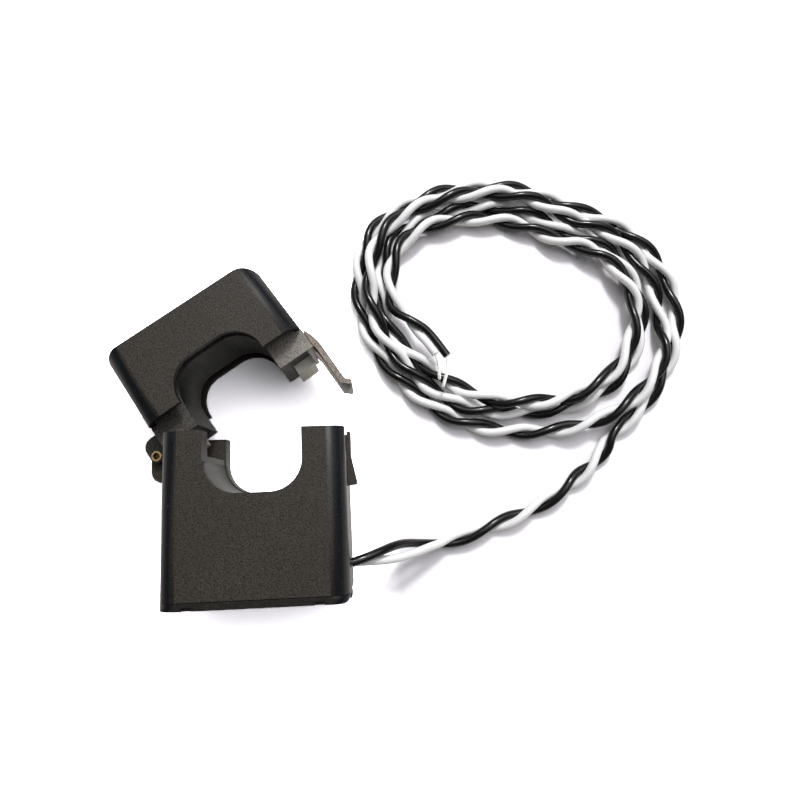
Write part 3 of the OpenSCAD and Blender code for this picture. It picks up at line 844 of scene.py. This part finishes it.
class CT_OT_core(bpy.types.Operator):
    """Finish the two halves of the core, the hinge pin and the jaw's leaf spring"""

    bl_idname = "transformer.core"
    bl_label = "Core and Pin"

    def execute(self, context):
        settings = context.scene.transformer_core
        steel = steel_core("Core Strip", settings.steel, settings.strip)
        for name in ("jaw_core", "lower_core_left", "lower_core_right"):
            finish_node(name, steel, 0.12 * MM)
        finish_node("hinge_pin", bright_metal("Brass Eyelet", settings.brass, 0.14, 0.3), 0.05 * MM)
        finish_node("jaw_core_spring", bright_metal("Spring Strip", (0.5, 0.5, 0.5), 0.2, 0.4))
        return {"FINISHED"}


class CT_OT_winding(bpy.types.Operator):
    """Finish the bobbin, the winding, its tape, the foam pad and the terminals"""

    bl_idname = "transformer.winding"
    bl_label = "Winding"

    def execute(self, context):
        # Painted shade: the side colours given here are a little darker than the fronts
        finish_node("bobbin", moulded_plastic("Bobbin Plastic", (0.015, 0.015, 0.015),
            (0.012, 0.012, 0.012), 0.5 * MM, 0.01 * MM, (0.35, 0.5)))
        finish_node("secondary_winding", wound_wire("Enamelled Wire", (0.55, 0.2, 0.07), 0.15 * MM))
        finish_node("winding_tape", moulded_plastic("Polyester Tape", (0.5, 0.35, 0.04),
            (0.45, 0.3, 0.03), 2 * MM, 0.01 * MM, (0.2, 0.3), wear=0))
        finish_node("bobbin_pad", moulded_plastic("Foam", (0.05, 0.05, 0.05),
            (0.04, 0.04, 0.04), 0.5 * MM, 0.2 * MM, (0.8, 0.95), wear=0))
        tinned = bright_metal("Tinned Pin", (0.8, 0.79, 0.76), 0.25, 0.45)
        for name in ("start_terminal", "finish_terminal"):
            finish_node(name, tinned)
        return {"FINISHED"}


class CT_PT_panel(bpy.types.Panel):
    """Lists the steps that dress the transformer"""

    bl_label = "Transformer"
    bl_idname = "CT_PT_panel"
    bl_space_type = "VIEW_3D"
    bl_region_type = "UI"
    bl_category = "Transformer"

    def draw(self, context):
        """Buttons of the steps, then every setting"""
        for step in STEPS:
            self.layout.operator(step.bl_idname)
        for name in SETTINGS:
            group = getattr(context.scene, name)
            column = self.layout.column()
            for key in group.__annotations__:
                column.prop(group, key)


STEPS = (CT_OT_stage, CT_OT_leads, CT_OT_housing, CT_OT_jaw, CT_OT_core, CT_OT_winding)
SETTINGS = {
    "transformer_stage": StageSettings,
    "transformer_leads": LeadSettings,
    "transformer_housing": HousingSettings,
    "transformer_jaw": JawSettings,
    "transformer_core": CoreSettings,
}
CLASSES = (*SETTINGS.values(), *STEPS, CT_PT_panel)


def register():
    """Adds the classes and gives the scene its settings."""
    for cls in CLASSES:
        bpy.utils.register_class(cls)
    for name, group in SETTINGS.items():
        setattr(bpy.types.Scene, name, PointerProperty(type=group))


def unregister():
    """Takes the settings and the classes away."""
    for name in SETTINGS:
        delattr(bpy.types.Scene, name)
    for cls in reversed(CLASSES):
        bpy.utils.unregister_class(cls)


def main():
    """Dresses the transformer step by step."""
    register()
    for build_group in (grain_group, wear_group, handling_group, layer_group):
        build_group()
    for step in STEPS:
        family, name = step.bl_idname.split(".")
        getattr(getattr(bpy.ops, family), name)()


if __name__ == "__main__":
    main()
